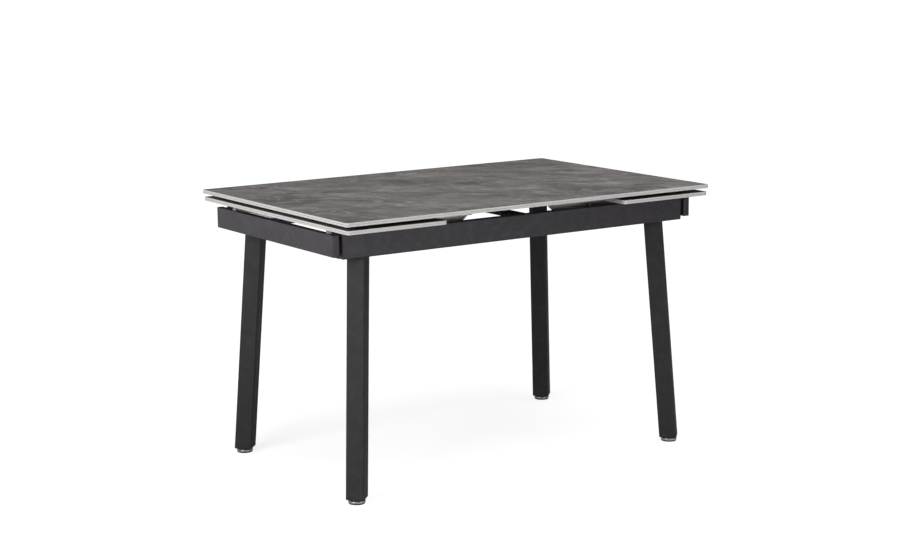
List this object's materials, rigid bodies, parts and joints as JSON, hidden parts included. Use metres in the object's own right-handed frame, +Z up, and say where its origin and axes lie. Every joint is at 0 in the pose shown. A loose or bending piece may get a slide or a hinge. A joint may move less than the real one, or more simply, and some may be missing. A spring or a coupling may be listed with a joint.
{
  "type": "extendable dining table",
  "caption": "Rectangular dining table on splayed square legs, with a thin stone-look top and an end leaf stowed under each end that slides out.",
  "frame": {"origin": "on the floor, under the centre of the table", "axes": "+X along the table's long side, towards the right leaf; +Y towards the rear rail; +Z up"},
  "size_m": [1.2, 0.8, 0.76],
  "materials": {
    "stone": "satin dark grey-brown marble-look sintered stone with paler veins",
    "glass": "tempered glass backing, light grey edge, opaque from behind",
    "frame": "fine-textured anthracite powder coat",
    "mechanism": "satin dark grey coated steel",
    "zinc": "bright zinc-plated steel",
    "foot": "satin steel disc over a dark moulded pad",
    "plastic": "matt black moulding",
    "bumper": "translucent soft bumper"
  },
  "bodies": {
    "frame": {"top_stone": "stone", "top_glass": "glass", "rail_front": "frame", "top_bearer_front": "frame", "rail_rear": "frame", "top_bearer_rear": "frame", "centre_plate": "frame", "end_crossbar_left": "frame", "support_crossbar_left": "frame", "end_crossbar_right": "frame", "support_crossbar_right": "frame", "leg_front_left": "frame", "leg_cap_front_left": "plastic", "mount_plate_front_left": "frame", "leg_bolt_front_left": "zinc", "slide_channel_front_left": "mechanism", "leg_front_right": "frame", "leg_cap_front_right": "plastic", "mount_plate_front_right": "frame", "leg_bolt_front_right": "zinc", "slide_channel_front_right": "mechanism", "leg_rear_left": "frame", "leg_cap_rear_left": "plastic", "mount_plate_rear_left": "frame", "leg_bolt_rear_left": "zinc", "slide_channel_rear_left": "mechanism", "leg_rear_right": "frame", "leg_cap_rear_right": "plastic", "mount_plate_rear_right": "frame", "leg_bolt_rear_right": "zinc", "slide_channel_rear_right": "mechanism"},
    "leaf_left": {"leaf_stone_left": "stone", "leaf_glass_left": "glass", "end_bar_left": "frame", "leaf_tie_left": "mechanism", "slide_runner_front_left": "zinc", "lift_arm_front_left": "zinc", "lift_link_front_left": "mechanism", "bumper_front_left": "bumper", "slide_runner_rear_left": "zinc", "lift_arm_rear_left": "zinc", "lift_link_rear_left": "mechanism", "bumper_rear_left": "bumper"},
    "leaf_right": {"leaf_stone_right": "stone", "leaf_glass_right": "glass", "end_bar_right": "frame", "leaf_tie_right": "mechanism", "slide_runner_front_right": "zinc", "lift_arm_front_right": "zinc", "lift_link_front_right": "mechanism", "bumper_front_right": "bumper", "slide_runner_rear_right": "zinc", "lift_arm_rear_right": "zinc", "lift_link_rear_right": "mechanism", "bumper_rear_right": "bumper"},
    "foot_front_left": {"foot_front_left": "foot"},
    "foot_front_right": {"foot_front_right": "foot"},
    "foot_rear_left": {"foot_rear_left": "foot"},
    "foot_rear_right": {"foot_rear_right": "foot"}
  },
  "joints": [
    {"name": "leaf_left_slide", "type": "slide", "parent": "frame", "child": "leaf_left", "axis": [-1, 0, 0], "range_m": [0, 0.307]},
    {"name": "leaf_right_slide", "type": "slide", "parent": "frame", "child": "leaf_right", "axis": [1, 0, 0], "range_m": [0, 0.307]},
    {"name": "foot_front_left_screw", "type": "slide", "parent": "frame", "child": "foot_front_left", "axis": [0, 0, -1], "range_m": [0, 0.012]},
    {"name": "foot_front_right_screw", "type": "slide", "parent": "frame", "child": "foot_front_right", "axis": [0, 0, -1], "range_m": [0, 0.012]},
    {"name": "foot_rear_left_screw", "type": "slide", "parent": "frame", "child": "foot_rear_left", "axis": [0, 0, -1], "range_m": [0, 0.012]},
    {"name": "foot_rear_right_screw", "type": "slide", "parent": "frame", "child": "foot_rear_right", "axis": [0, 0, -1], "range_m": [0, 0.012]}
  ]
}
